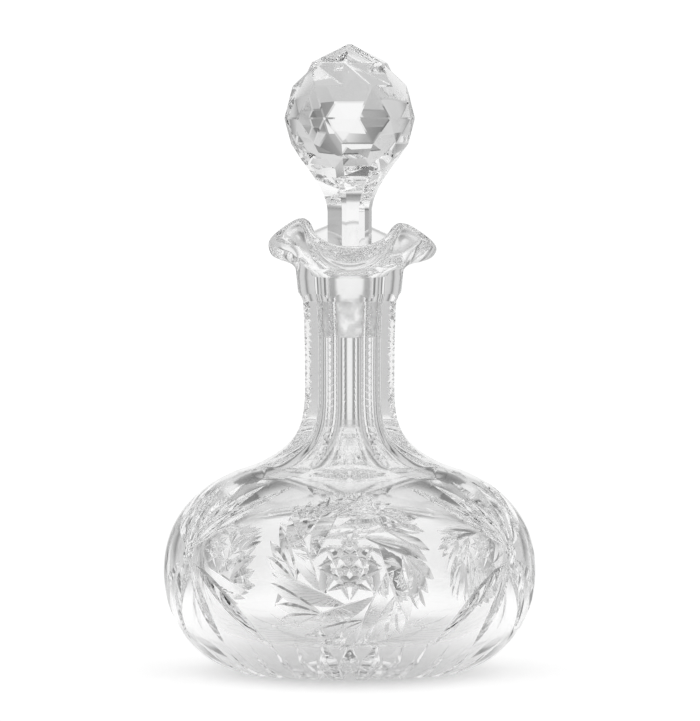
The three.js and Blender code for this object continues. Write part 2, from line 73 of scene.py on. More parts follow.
# Inside of the bottle
FLOOR_THICKNESS = 8
BELLY_WALL = 8.5
SHOULDER_WALL = 6.5
SEAT_TOP_RADIUS = 7.4
SEAT_LENGTH = 19.5
SEAT_TAPER = 0.045
BORE_RADIUS = SEAT_TOP_RADIUS - SEAT_LENGTH * SEAT_TAPER

# Neck flutes and notches
FLUTES = 8
HALF_FLUTE = math.pi / FLUTES
FLUTE_END_RADIUS = 40
FLUTE_RUN_OUT = 0.965
FLUTE_LIFT_OFF = 0.4
RIDGE_SHARPENING = 0.12
NOTCH_PITCH = 2.2
NOTCH_DEPTH = 0.42
NOTCH_HALF_WIDTH = 0.75
NOTCH_END_RADIUS = 27

# Pinwheels round their hobstars
PINWHEELS = 3
PINWHEEL_HEIGHT = 37
PINWHEEL_VANES = 8
RING_RADIUS = 12.1
VANE_LENGTH = 28.4
VANE_DEPTH = 3
VANE_BROAD_SIDE = 5
VANE_STEEP_SIDE = 1.3
SPRAY_START = 0.62
SPRAY_LEAVES = ((-0.28, 14.5), (-0.58, 16.5), (-0.88, 20.5))
SPRAY_DEPTH = 1.9
SPRAY_HALF_WIDTH = 2
STAR_RADIUS = 10.6
STAR_DEPTH = 1.4
STAR_HALF_WIDTH = 1.4

# Fans of long leaves at the corners between the pinwheel windows
CORNER_HEIGHT = 39.7
CORNER_LENS_LENGTH = 9
UPPER_FAN_TURNS = (-39, -23, -8, 8, 23, 39)
LOWER_FAN_TURNS = (-34, -13, 13, 34)
UPPER_FAN_HEIGHT = 62
LOWER_FAN_HEIGHT = 10
FAN_DEPTH = 2.4
FAN_BROAD_SIDE = 3.4
FAN_STEEP_SIDE = 1.4
UPPER_FAN_BOW = 1.8
LOWER_FAN_BOW = 3

# Star under the base
BASE_RAYS = 30
RAY_START_RADIUS = 7
RAY_TIP_HEIGHT = 12.5
RAY_DEPTH = 3.6
RAY_HALF_WIDTH = 3
RAY_DEEPEST = 0.5       # share of its length at which a ray is deepest
RAY_TAPER = 1.7

# Stopper
STOPPER_TURN = math.radians(-7.5)
PLUG_CLEARANCE = 0.3
PLUG_RISE = 1
PLUG_LENGTH = 20.4
BALL_RADIUS = 21
BALL_HEIGHT = 176.1
BALL_TOP = 23.9
BALL_CHAMFER = 0.3
SHANK_RADIUS = 7.6
SHANK_WAIST_HEIGHT = 146

# Light: levels by the angle in degrees sideways from the middle of the nearest
# soft box; upwards the same level reaches further by the slimness
BOX_LEVELS = ((0, 0.95), (10, 0.92), (15, 0.42), (22, 0.2), (29, 0.7),
              (39, 0.64), (49, 0.12), (65, 0.55), (90, 0.35))
BOX_SLIMNESS = 0.6
FRONT_LEVEL = 0.9
ZENITH_START = 0.6
ZENITH_FULL = 0.9
ZENITH_LEVEL = 1
BELOW_LEVEL = 0.62
BACKDROP_LEVEL = 1.05

# Floor, in metres, and its own glow, which is painted light: dimmed under the bottle
# into a painted shadow and full round it, the painted shadow coming in nearer to the bottle at its sides
FLOOR_DROP = 0.0002
PAINTED_SHADOW_FADE_START = 0.03
PAINTED_SHADOW_END = 0.09
PAINTED_SHADOW_ASPECT = 0.6
PAINTED_SHADOW_GLOW = 0.46
GLOW_AROUND = 0.67
FLOOR_FADE = 0.1
FLOOR_END = 0.3

# Camera, in metres
EYE = Vector((0, -1.9, 0.173))
TARGET = Vector((0.0001, 0, 0.099))
FRAME_WIDTH = 0.2231
SENSOR_WIDTH = 36       # mm

# Meshes: how fine they are, how far a cutter stands out of the skin, and the
# distance under which two corners are one
BLANK_SIDES = 288
CAVITY_SIDES = 192
PLUG_SIDES = 96
CUTTER_LIFT = 0.35
JOINING_DISTANCE = 0.0001

# Surfaces: edges sharper than these angles in degrees stay sharp
WHEEL_CUT_ANGLE = 9
BLOWN_ANGLE = 50
FACET_ANGLE = 8
GROUND_REACH = SEAT_TOP_RADIUS + 0.6
GLASS_IOR = 1.53
GROUND_SPOTS = 320          # spots to a metre
SPOT_EDGES = (0.38, 0.62)   # of the noise, from the dullest to the clearest

# The cutter's hand: no two leaves are quite alike
HAND_LENGTH = 0.04
HAND_TURN = 0.025
rng = random.Random(7)


def lerp(a, b, t):
    return a + (b - a) * t


def clamp(value, low, high):
    return max(low, min(high, value))


def smoothstep(value, low, high):
    t = clamp((value - low) / (high - low), 0, 1)
    return t * t * (3 - 2 * t)


def round_axis(radius, azimuth, height):
    """A point at an azimuth round the bottle: 0 faces -Y and it grows towards +X."""
    return Vector((radius * math.sin(azimuth), -radius * math.cos(azimuth), height))


# Curves in the plane of radius and height

def bezier(points, t):
    """A point on the Bezier curve of any number of control points."""
    work = [Vector(p) for p in points]
    while len(work) > 1:
        work = [a.lerp(b, t) for a, b in zip(work, work[1:])]
    return work[0]


def smooth_through(points, steps):
    """Points on a smooth curve through the given ones."""
    result = []
    last = len(points) - 1
    for i in range(last):
        p0, p1, p2, p3 = (Vector(points[clamp(i + k, 0, last)]) for k in (-1, 0, 1, 2))
        for step in range(steps):
            t = step / steps
            result.append(0.5 * (2 * p1 + (p2 - p0) * t + (2 * p0 - 5 * p1 + 4 * p2 - p3) * t ** 2
                                 + (3 * p1 - p0 - 3 * p2 + p3) * t ** 3))
    result.append(Vector(points[last]))
    return result


class Outline:
    """The blank's outline, measured along its length from the base's centre."""

    def __init__(self, curves, steps=200):
        self.points = [Vector((0, 0))]
        for curve in curves:
            self.points += [bezier(curve, i / steps) for i in range(1, steps + 1)]
        self.runs = [0.0]
        for a, b in zip(self.points, self.points[1:]):
            self.runs.append(self.runs[-1] + (b - a).length)
        self.length = self.runs[-1]

    def index_at(self, run):
        low, high = 0, len(self.runs) - 1
        while high - low > 1:
            middle = (low + high) // 2
            if self.runs[middle] <= run:
                low = middle
            else:
                high = middle
        return low

    def at(self, run):
        """Point and unit tangent at a run."""
        run = clamp(run, 0, self.length - 1e-6)
        i = self.index_at(run)
        a, b = self.points[i], self.points[i + 1]
        t = (run - self.runs[i]) / (self.runs[i + 1] - self.runs[i])
        before = self.points[max(i - 1, 0)]
        after = self.points[min(i + 2, len(self.points) - 1)]
        tangent = (b - before).lerp(after - a, t).normalized()
        return a.lerp(b, t), tangent

    def run_where(self, reached):
        for point, run in zip(self.points, self.runs):
            if run > BASE_RADIUS and reached(point):
                return run
        return self.length


FLANK = ((BASE_RADIUS, 0), (lerp(BASE_RADIUS, BELLY_RADIUS, 0.63), BELLY_HEIGHT * 0.11),
         (BELLY_RADIUS, BELLY_HEIGHT * 0.53), (BELLY_RADIUS, BELLY_HEIGHT))
SHOULDER_RUN = (BELLY_RADIUS - SHOULDER_RADIUS) * 0.74
SHOULDER = ((BELLY_RADIUS, BELLY_HEIGHT), (BELLY_RADIUS, lerp(BELLY_HEIGHT, SHOULDER_HEIGHT, 0.4)),
            (SHOULDER_RADIUS + SHOULDER_RUN, SHOULDER_HEIGHT - SHOULDER_RUN * SHOULDER_SLOPE),
            (SHOULDER_RADIUS, SHOULDER_HEIGHT))
SWEEP_RUN = (SHOULDER_RADIUS - WAIST_RADIUS) * 0.92
NECK_SWEEP = ((SHOULDER_RADIUS, SHOULDER_HEIGHT),
              (SHOULDER_RADIUS - SWEEP_RUN, SHOULDER_HEIGHT + SWEEP_RUN * SHOULDER_SLOPE),
              (WAIST_RADIUS, lerp(SHOULDER_HEIGHT, WAIST_HEIGHT, 0.5)), (WAIST_RADIUS, WAIST_HEIGHT))
NECK_RISE = ((WAIST_RADIUS, WAIST_HEIGHT), (WAIST_RADIUS, lerp(WAIST_HEIGHT, COLLAR_HEIGHT, 0.6)),
             (COLLAR_RADIUS, COLLAR_HEIGHT))
outline = Outline((((0, 0), (BASE_RADIUS, 0)), FLANK, SHOULDER, NECK_SWEEP, NECK_RISE))


def run_at_height(height):
    return outline.run_where(lambda p: p.y >= height)


def run_at_narrowing(radius):
    return outline.run_where(lambda p: p.y > BELLY_HEIGHT and p.x <= radius)


class Skin:
    """The blank's skin at an azimuth and a run along the outline."""

    def __init__(self, azimuth, run):
        point, tangent = outline.at(run)
        self.radius = point.x
        self.position = round_axis(point.x, azimuth, point.y)
        self.normal = round_axis(tangent.y, azimuth, -tangent.x).normalized()
        self.sideways = round_axis(1, azimuth + math.pi / 2, 0)


def drawing_board(azimuth, height):
    """A flat drawing laid on the skin: x runs round the bottle, y up its outline."""
    run = run_at_height(height)

    def place(x, y):
        return Skin(azimuth + x / outline.at(run + y)[0].x, run + y)

    return place


# Meshes

def mesh_object(name, vertices, faces, materials=()):
    """An object whose mesh has these points, given in millimetres."""
    mesh = bpy.data.meshes.new(name)
    mesh.from_pydata([tuple(v * MM) for v in vertices], [], faces)
    for material in materials:
        mesh.materials.append(material)
    obj = bpy.data.objects.new(name, mesh)
    bpy.context.scene.collection.objects.link(obj)
    return obj


def ring(sides, section, first=0.0):
    return [section(first + i * FULL_TURN / sides) for i in range(sides)]


def round_ring(sides, radius, height, first=0.0):
    return ring(sides, lambda azimuth: round_axis(radius, azimuth, height), first)


def skin_rings(rings):
    """Points and faces of a closed skin over rings of one size; the first and
    the last are single points."""
    vertices = [v for band in rings for v in band]
    faces = []
    start = 0
    for lower, upper in zip(rings, rings[1:]):
        sides = max(len(lower), len(upper))
        above = start + len(lower)
        for i in range(sides):
            j = (i + 1) % sides
            a, b = (start, start) if len(lower) == 1 else (start + i, start + j)
            c, d = (above, above) if len(upper) == 1 else (above + j, above + i)
            face = [a, b, c, d]
            faces.append([v for k, v in enumerate(face) if v != face[k - 1]])
        start = above
    return vertices, faces


def skin_sections(sections):
    """Points and faces of a closed skin over a row of convex sections."""
    size = len(sections[0])
    vertices = [v for section in sections for v in section]
    faces = []
    for s in range(len(sections) - 1):
        for i in range(size):
            a, b = s * size + i, s * size + (i + 1) % size
            faces.append([a, a + size, b + size, b])
    faces.append(list(range(size)))
    faces.append(list(range(len(vertices) - 1, len(vertices) - 1 - size, -1)))
    return vertices, faces


# Cutters: each is a list of sections

def leaf_depth(t, deepest):
    """Depth of a leaf cut along its length, one at its deepest."""
    towards_tip = (deepest - t) / deepest if t < deepest else (t - deepest) / (1 - deepest)
    return 1 - 1.1 * towards_tip ** 2


def leaf_cutter(stations, depth, left, right, depth_at):
    """A mitre wheel's cut along a line on the skin, its two faces meeting in a keel."""
    last = len(stations) - 1
    sections = []
    for i, skin in enumerate(stations):
        ahead = (stations[min(i + 1, last)].position - stations[max(i - 1, 0)].position).normalized()
        leftward = skin.normal.cross(ahead).normalized()
        dive = depth * depth_at(i / last)
        reach = (dive + CUTTER_LIFT) / depth
        rim = skin.position + skin.normal * CUTTER_LIFT
        sections.append([skin.position - skin.normal * dive,
                         rim - leftward * right * reach,
                         rim + leftward * left * reach])
    return sections


def leaf_between(board, start, end, steps, bow=0, **cut):
    """A leaf between two points of a drawing, bowed to the left by the bow's height."""
    start, end = Vector(start), Vector(end)
    ahead = (end - start).normalized()
    leftward = Vector((-ahead.y, ahead.x))
    stations = []
    for i in range(steps + 1):
        t = i / steps
        stations.append(board(*(start.lerp(end, t) + leftward * bow * 4 * t * (1 - t))))
    return leaf_cutter(stations, **cut)


def polar(radius, angle, centre=(0, 0)):
    return (centre[0] + radius * math.cos(angle), centre[1] + radius * math.sin(angle))


def pinwheel_cutters(board):
    """Vanes and sprays, in layers whose cutters stay clear of each other."""
    layers = [[] for _ in range(4 + len(SPRAY_LEAVES))]
    for vane in range(PINWHEEL_VANES):
        corner = math.pi / 2 - vane * FULL_TURN / PINWHEEL_VANES
        heading = corner - math.pi / 2 - math.pi / PINWHEEL_VANES + rng.uniform(-HAND_TURN, HAND_TURN)
        start = polar(RING_RADIUS, corner)
        end = polar(VANE_LENGTH * rng.uniform(1 - HAND_LENGTH, 1 + HAND_LENGTH), heading, start)
        layers[vane % 4].append(leaf_between(
            board, start, end, 20, depth=VANE_DEPTH, left=VANE_BROAD_SIDE, right=VANE_STEEP_SIDE,
            depth_at=lambda t: leaf_depth(t, 0.58)))
        spring = polar(VANE_LENGTH * SPRAY_START, heading, start)
        for i, (turn, length) in enumerate(SPRAY_LEAVES):
            tip = polar(length * rng.uniform(1 - HAND_LENGTH, 1 + HAND_LENGTH),
                        heading + turn + rng.uniform(-HAND_TURN, HAND_TURN), spring)
            layers[4 + i].append(leaf_between(
                board, spring, tip, 12, depth=SPRAY_DEPTH, left=SPRAY_HALF_WIDTH,
                right=SPRAY_HALF_WIDTH, depth_at=lambda t: leaf_depth(t, 0.6)))
    return layers


def hobstar_cutters(board):
    """Chords between the star's points, and shorter cuts across its heart."""
    cut = dict(depth=STAR_DEPTH, left=STAR_HALF_WIDTH, right=STAR_HALF_WIDTH,
               depth_at=lambda t: leaf_depth(t, 0.5))
    step = FULL_TURN / PINWHEEL_VANES
    half = PINWHEEL_VANES // 2
    chords = [leaf_between(board, polar(STAR_RADIUS, k * step), polar(STAR_RADIUS, (k + 3) * step), 10, **cut)
              for k in range(2 * half)]
    layers = [[chords[i], chords[i + half]] for i in range(half)]
    heart = STAR_RADIUS * 0.45
    layers += [[leaf_between(board, polar(heart, i * step), polar(heart, (i + half) * step), 8, **cut)]
               for i in range(half)]
    return layers


def corner_cutters(azimuth):
    """Fans of leaves up and down from a lens at a corner between two windows."""
    board = drawing_board(azimuth, CORNER_HEIGHT)
    corner_run = run_at_height(CORNER_HEIGHT)
    layers = []
    fans = ((UPPER_FAN_TURNS, UPPER_FAN_HEIGHT, UPPER_FAN_BOW),
            (LOWER_FAN_TURNS, LOWER_FAN_HEIGHT, LOWER_FAN_BOW))
    for turns, tip_height, widest_bow in fans:
        tip_run = run_at_height(tip_height)
        tip_radius = outline.at(tip_run)[0].x
        rising = tip_height > CORNER_HEIGHT
        for turn in turns:
            window_on_left = (turn > 0) != rising
            left, right = FAN_STEEP_SIDE, FAN_BROAD_SIDE
            if window_on_left:
                left, right = right, left
            bow = widest_bow * abs(turn) / max(turns) * (1 if window_on_left else -1)
            reach = rng.uniform(1 - HAND_LENGTH, 1 + HAND_LENGTH / 2)
            tip = (math.radians(turn) * tip_radius * reach, (tip_run - corner_run) * reach)
            root = (tip[0] * 0.06, tip[1] * 0.06)
            layers.append([leaf_between(board, root, tip, 24, bow, depth=FAN_DEPTH, left=left, right=right,
                                        depth_at=lambda t: leaf_depth(t, 0.5))])
    half = CORNER_LENS_LENGTH / 2
    layers.append([leaf_between(board, (0, -half), (0, half), 10, depth=FAN_DEPTH, left=FAN_BROAD_SIDE,
                                right=FAN_BROAD_SIDE, depth_at=lambda t: leaf_depth(t, 0.5))])
    return layers


def base_ray_cutters():
    """Rays that deepen from near the middle of the base and taper up the flank."""
    tip_run = run_at_height(RAY_TIP_HEIGHT)
    steps = 24

    def ray_depth(t):
        if t < RAY_DEEPEST:
            return t / RAY_DEEPEST
        return ((1 - t) / (1 - RAY_DEEPEST)) ** RAY_TAPER - 0.05

    cutters = []
    for ray in range(BASE_RAYS):
        azimuth = ray * FULL_TURN / BASE_RAYS
        stations = [Skin(azimuth, lerp(RAY_START_RADIUS, tip_run, i / steps)) for i in range(steps + 1)]
        cutters.append(leaf_cutter(stations, RAY_DEPTH, RAY_HALF_WIDTH, RAY_HALF_WIDTH, ray_depth))
    return cutters


def flute_cutter(azimuth):
    """A flute's wheel follows the neck, lifts off on the shoulder in a scallop and
    runs out under the collar."""
    end_run = run_at_narrowing(FLUTE_END_RADIUS)
    steps = 60
    sections = []
    for i in range(steps + 1):
        share = i / steps
        skin = Skin(azimuth, lerp(end_run - 3, outline.length, share))
        outward = round_axis(1, azimuth, 0).dot(skin.normal)
        full_depth = skin.radius * (1 - math.cos(HALF_FLUTE)) * outward + RIDGE_SHARPENING
        depth = lerp(-FLUTE_LIFT_OFF, full_depth, smoothstep(share, 0, 0.22))
        depth *= 1 - 0.75 * smoothstep(share, FLUTE_RUN_OUT, 1)
        half_width = skin.radius * math.tan(HALF_FLUTE) * 1.1 + 0.5
        lift = full_depth + CUTTER_LIFT
        section = [skin.position + skin.sideways * side + skin.normal * rise
                   for side, rise in ((half_width, -depth), (half_width, lift),
                                      (-half_width, lift), (-half_width, -depth))]
        sections.append(section)
    for corner in sections[-1]:
        corner.z = COLLAR_HEIGHT
    return sections


def notch_cutters(azimuth):
    """Notches across one ridge, from the collar down and out on to the shoulder."""
    cutters = []
    run = outline.length - NOTCH_PITCH
    last_run = run_at_narrowing(NOTCH_END_RADIUS)
    while run > last_run:
        skin = Skin(azimuth, run)
        along = skin.sideways.cross(skin.normal)
        lift = 3 * NOTCH_DEPTH
        half_mouth = NOTCH_HALF_WIDTH * (NOTCH_DEPTH + lift) / NOTCH_DEPTH
        half_length = 4 * NOTCH_DEPTH
        sections = []
        for side in (-half_length, half_length):
            origin = skin.position + skin.sideways * side - skin.normal * RIDGE_SHARPENING
            sections.append([origin - skin.normal * NOTCH_DEPTH,
                             origin + skin.normal * lift + along * half_mouth,
                             origin + skin.normal * lift - along * half_mouth])
        cutters.append(sections)
        run -= NOTCH_PITCH
    return cutters


# The blank

def spout_share(azimuth):
    """One in the middle of a spout, nought at a crest. A spout faces the front."""
    return (1 + math.cos(SPOUTS * azimuth)) / 2


def uneven_share(azimuth):
    """One where the lip, drawn by hand, stands highest and shortest."""
    return ((1 + math.cos(azimuth - UNEVEN_AZIMUTH)) / 2) ** 2


def lip_rings():
    """Rings up the outside of the lip, over its rim and down into the mouth."""
    thick = LIP_THICKNESS
    mouth = SEAT_TOP_RADIUS + 0.9
    foot = LIP_FOOT_RADIUS
    top, reach = FOOT + CREST_HEIGHT, CREST_RADIUS
    crest = ((foot, FOOT), (foot - 0.1, FOOT + 2.6), (foot + 0.2, lerp(FOOT, top, 0.32)),
             (lerp(foot, reach, 0.35), lerp(FOOT, top, 0.53)),
             (lerp(foot, reach, 0.72), lerp(FOOT, top, 0.74)),
             (reach - 0.1, top - 2.1), (reach, top - 0.9), (reach - 0.8, top - 0.1),
             (reach - 2.2, top - 0.1), (reach - 3.7, top - 1.3), (reach - thick, top - 4),
             (reach - thick - 1.6, top - 8), (lerp(mouth, reach - thick, 0.4), FOOT + 4.8),
             (mouth, FOOT + 1.2))
    rim, tip = FOOT + SPOUT_HEIGHT, SPOUT_REACH
    spout = ((foot, FOOT), (foot + 0.7, FOOT + 1.5), (lerp(foot, tip, 0.2), rim - thick - 1.9),
             (lerp(foot, tip, 0.41), rim - thick - 1.1), (lerp(foot, tip, 0.64), rim - thick - 0.5),
             (lerp(foot, tip, 0.85), rim - thick + 0.3), (tip - 0.4, rim - thick + 1.7),
             (tip, rim - thick + 3.1), (tip - 1, rim - 0.5), (tip - 3.2, rim), (tip - 6.8, rim - 0.9),
             (lerp(mouth, tip, 0.47), rim - 2.6), (lerp(mouth, tip, 0.22), FOOT + 3.9),
             (mouth, FOOT + 1.2))
    pairs = zip(smooth_through(crest, 5), smooth_through(spout, 5))

    def section_of(low, high):
        def section(azimuth):
            point = low.lerp(high, spout_share(azimuth))
            uneven = uneven_share(azimuth) * smoothstep(point.y, FOOT + 1, FOOT + 9)
            return round_axis(point.x + UNEVEN_REACH * uneven, azimuth, point.y + UNEVEN_RISE * uneven)
        return section

    return [ring(BLANK_SIDES, section_of(low, high)) for low, high in pairs]


def blank_mesh():
    rings = [[Vector((0, 0, 0))]]
    for curve, steps in ((FLANK, 40), (SHOULDER, 44), (NECK_SWEEP, 44), (NECK_RISE, 16)):
        for i in range(steps):
            point = bezier(curve, i / steps)
            rings.append(round_ring(BLANK_SIDES, point.x, point.y))
    for i in range(8):
        share = i / 8
        rings.append(round_ring(BLANK_SIDES, lerp(COLLAR_RADIUS, LIP_FOOT_RADIUS, share ** 0.6),
                                lerp(COLLAR_HEIGHT, FOOT, share)))
    rings += lip_rings()
    rings.append(round_ring(BLANK_SIDES, SEAT_TOP_RADIUS + 0.4, FOOT))
    rings.append([Vector((0, 0, FOOT))])
    return skin_rings(rings)


def cavity_mesh():
    belly = BELLY_RADIUS - BELLY_WALL
    roof = SHOULDER_HEIGHT - SHOULDER_WALL
    lower = ((BASE_RADIUS * 0.65, FLOOR_THICKNESS), (belly * 0.86, FLOOR_THICKNESS),
             (belly, BELLY_HEIGHT * 0.6), (belly, BELLY_HEIGHT + 2))
    roof_run = (belly - BORE_RADIUS) * 0.42
    middle = ((belly + BORE_RADIUS) * 0.5, roof)
    upper = ((belly, BELLY_HEIGHT + 2), (belly, lerp(BELLY_HEIGHT, roof, 0.6)),
             (middle[0] + roof_run * 0.8, roof - roof_run * 0.32), middle)
    throat = (middle, (middle[0] - roof_run, roof + roof_run * 0.4),
              (BORE_RADIUS, lerp(roof, WAIST_HEIGHT, 0.4)), (BORE_RADIUS, WAIST_HEIGHT - 4))
    rings = [[Vector((0, 0, FLOOR_THICKNESS))]]
    for curve, steps in ((lower, 36), (upper, 36), (throat, 44)):
        for i in range(steps):
            point = bezier(curve, i / steps)
            rings.append(round_ring(CAVITY_SIDES, point.x, point.y))
    seat_at_collar = SEAT_TOP_RADIUS - COLLAR_LENGTH * SEAT_TAPER
    seat = ((BORE_RADIUS, WAIST_HEIGHT - 4), (BORE_RADIUS, FOOT - SEAT_LENGTH),
            (seat_at_collar, COLLAR_HEIGHT), (SEAT_TOP_RADIUS, FOOT), (SEAT_TOP_RADIUS, FOOT + 1))
    for radius, height in seat:
        rings.append(round_ring(CAVITY_SIDES, radius, height))
    rings.append([Vector((0, 0, FOOT + 1))])
    return skin_rings(rings)


# Glass

def map_range(nodes, links, value, low, high, at_low=0.0, at_high=1.0):
    """A smooth step of a value from one level to another."""
    node = nodes.new("ShaderNodeMapRange")
    node.interpolation_type = "SMOOTHSTEP"
    node.inputs["From Min"].default_value = low
    node.inputs["From Max"].default_value = high
    node.inputs["To Min"].default_value = at_low
    node.inputs["To Max"].default_value = at_high
    links.new(value, node.inputs["Value"])
    return node.outputs[0]


def glass_material(name, clearness, roughness, bump_scale, bump_depth):
    """Clear glass with the faint waviness that the scale and depth set."""
    material = bpy.data.materials.new(name)
    material.use_nodes = True
    nodes, links = material.node_tree.nodes, material.node_tree.links
    shader = nodes["Principled BSDF"]
    shader.inputs["Base Color"].default_value = (clearness, clearness, clearness, 1)
    shader.inputs["Transmission Weight"].default_value = 1
    shader.inputs["Roughness"].default_value = roughness
    shader.inputs["IOR"].default_value = GLASS_IOR
    place = nodes.new("ShaderNodeTexCoord")
    noise = nodes.new("ShaderNodeTexNoise")
    noise.inputs["Scale"].default_value = bump_scale
    noise.inputs["Detail"].default_value = 1
    bump = nodes.new("ShaderNodeBump")
    bump.inputs["Strength"].default_value = 1
    bump.inputs["Distance"].default_value = bump_depth
    links.new(place.outputs["Object"], noise.inputs["Vector"])
    links.new(noise.outputs["Fac"], bump.inputs["Height"])
    links.new(bump.outputs["Normal"], shader.inputs["Normal"])
    return material


def ground_material():
    """Glass ground with grit: part of the light is scattered, more in some spots."""
    material = glass_material("ground_glass", 1, 0.35, 3000, 0.00001)
    nodes, links = material.node_tree.nodes, material.node_tree.links
    shader = nodes["Principled BSDF"]
    place = nodes.new("ShaderNodeTexCoord")
    blotches = nodes.new("ShaderNodeTexNoise")
    blotches.inputs["Scale"].default_value = GROUND_SPOTS
    blotches.inputs["Detail"].default_value = 3
    links.new(place.outputs["Object"], blotches.inputs["Vector"])
    spots = blotches.outputs["Fac"]
    for socket, at_dullest, at_clearest in (("Transmission Weight", 0.86, 1), ("Roughness", 0.25, 0.07)):
        level = map_range(nodes, links, spots, *SPOT_EDGES, at_dullest, at_clearest)
        links.new(level, shader.inputs[socket])
    return material


blown = glass_material("blown_glass", 0.975, 0, 45, 0.00002)
cut_glass = glass_material("cut_glass", 0.965, 0, 900, 0.000001)
facet_glass = glass_material("facet_glass", 1, 0, 60, 0.000002)
ground = ground_material()


# Cutting

def joined_object(name, cutters, material):
    vertices, faces = [], []
    for sections in cutters:
        own_vertices, own_faces = skin_sections(sections)
        start = len(vertices)
        vertices += own_vertices
        faces += [[start + i for i in face] for face in own_faces]
    return mesh_object(name, vertices, faces, (material,))


def subtract_all(obj, tools):
    """Subtracts each tool object from obj and keeps the result as its mesh."""
    for tool in tools:
        modifier = obj.modifiers.new(tool.name, "BOOLEAN")
        modifier.operation = "DIFFERENCE"
        modifier.solver = "MANIFOLD"
        modifier.object = tool
        tool.hide_render = True
    depsgraph = bpy.context.evaluated_depsgraph_get()
    mesh = bpy.data.meshes.new_from_object(obj.evaluated_get(depsgraph))
    obj.modifiers.clear()
    old = obj.data
    obj.data = mesh
    bpy.data.meshes.remove(old)
    for tool in tools:
        data = tool.data
        bpy.data.objects.remove(tool)
        bpy.data.meshes.remove(data)


def cut_bottle():
    vertices, faces = blank_mesh()
    bottle = mesh_object("cut_bottle", vertices, faces, (blown, cut_glass, ground))
    vertices, faces = cavity_mesh()
    tools = [mesh_object("hollow", vertices, faces, (blown,))]
    rays = base_ray_cutters()
    layers = [rays[0::3], rays[1::3], rays[2::3]]
    patterns = []
    for i in range(PINWHEELS):
        board = drawing_board(i * FULL_TURN / PINWHEELS, PINWHEEL_HEIGHT)
        corner = (i + 0.5) * FULL_TURN / PINWHEELS
        patterns.append(pinwheel_cutters(board) + hobstar_cutters(board) + corner_cutters(corner))
    layers += [[cutter for part in alike for cutter in part] for alike in zip(*patterns)]
    flutes = [flute_cutter(i * FULL_TURN / FLUTES) for i in range(FLUTES)]
    layers += [flutes[0::4], flutes[1::4], flutes[2::4], flutes[3::4]]
    layers.append([notch for i in range(FLUTES) for notch in notch_cutters((i + 0.5) * FULL_TURN / FLUTES)])
    tools += [joined_object(f"cut_{i}", layer, cut_glass) for i, layer in enumerate(layers)]
    subtract_all(bottle, tools)
    return bottle


# The stopper

def skin_uneven(bands):
    """Points and faces of a closed skin over rings of unlike sizes. A band is its
    points and the azimuth of the first; the walk takes whichever next point comes
    first round the axis."""
    vertices = [v for points, _ in bands for v in points]
    faces = []
    start = 0
    for (lower, low_first), (upper, high_first) in zip(bands, bands[1:]):
        above = start + len(lower)
        low_count = 0 if len(lower) == 1 else len(lower)
        high_count = 0 if len(upper) == 1 else len(upper)
        i = j = 0
        while i < low_count or j < high_count:
            low_next = low_first + (i + 1) * FULL_TURN / low_count if i < low_count else math.inf
            high_next = high_first + (j + 1) * FULL_TURN / high_count if j < high_count else math.inf
            a = start + (i % low_count if low_count else 0)
            b = above + (j % high_count if high_count else 0)
            if low_next <= high_next + 1e-9:
                faces.append([a, start + (i + 1) % low_count, b])
                i += 1
            else:
                faces.append([a, above + (j + 1) % high_count, b])
                j += 1
        start = above
    return vertices, faces


def plug_radius_at(height):
    seat = max(BORE_RADIUS, SEAT_TOP_RADIUS - (FOOT - height) * SEAT_TAPER)
    return min(SEAT_TOP_RADIUS, seat) - PLUG_CLEARANCE


def stopper_mesh():
    turn = STOPPER_TURN
    plug_top = FOOT + PLUG_RISE
    plug_foot = plug_top - PLUG_LENGTH
    ball_foot = (BALL_RADIUS * 0.805, BALL_HEIGHT - BALL_TOP * 0.53)

    def hexagon(azimuth):
        sector = math.radians(60)
        side = (azimuth - turn) % sector - sector / 2
        return math.cos(sector / 2) / math.cos(side)

    def band(radius, height, six_sided):
        def section(azimuth):
            return round_axis(radius * lerp(1, hexagon(azimuth), six_sided), azimuth, height)
        return ring(PLUG_SIDES, section, turn), turn

    def corners(count, radius, height, first):
        return round_ring(count, BALL_RADIUS * radius, BALL_HEIGHT + BALL_TOP * height, first), first

    def corners_by_turns(radii, height, first):
        """Twelve corners at two radii by turns."""
        level = BALL_HEIGHT + BALL_TOP * height
        step = FULL_TURN / 12
        return [round_axis(BALL_RADIUS * radii[i % 2], first + i * step, level) for i in range(12)], first

    bands = [([Vector((0, 0, plug_foot))], 0), band(plug_radius_at(plug_foot) - 0.6, plug_foot, 0),
             band(plug_radius_at(plug_foot + 0.25) - 0.2, plug_foot + 0.15, 0),
             band(plug_radius_at(plug_foot + 0.6), plug_foot + 0.6, 0)]
    for i in range(1, 9):
        height = lerp(plug_foot + 0.6, plug_top, i / 8)
        bands.append(band(plug_radius_at(height), height, 0))
    waist = SHANK_WAIST_HEIGHT
    for i in range(1, 13):
        t = i / 12
        height = lerp(plug_top, lerp(plug_top, waist, 0.35), t)
        bands.append(band(lerp(plug_radius_at(plug_top), SHANK_RADIUS, t), height, smoothstep(t, 0, 1)))
    flare = ((SHANK_RADIUS, waist), (SHANK_RADIUS, lerp(waist, ball_foot[1], 0.32)),
             (lerp(SHANK_RADIUS, ball_foot[0], 0.43), lerp(waist, ball_foot[1], 0.63)), ball_foot)
    for i in range(49):
        point = bezier(flare, i / 48)
        bands.append(band(point.x, point.y, 1))
    bands += [corners_by_turns((0.885, 0.9), -0.33, turn), corners(12, 1, 0, turn + math.radians(15)),
              corners_by_turns((0.8, 0.876), 0.431, turn), corners(6, 0.62, 0.745, turn),
              ([Vector((0, 0, BALL_HEIGHT + BALL_TOP))], 0)]
    return skin_uneven(bands)


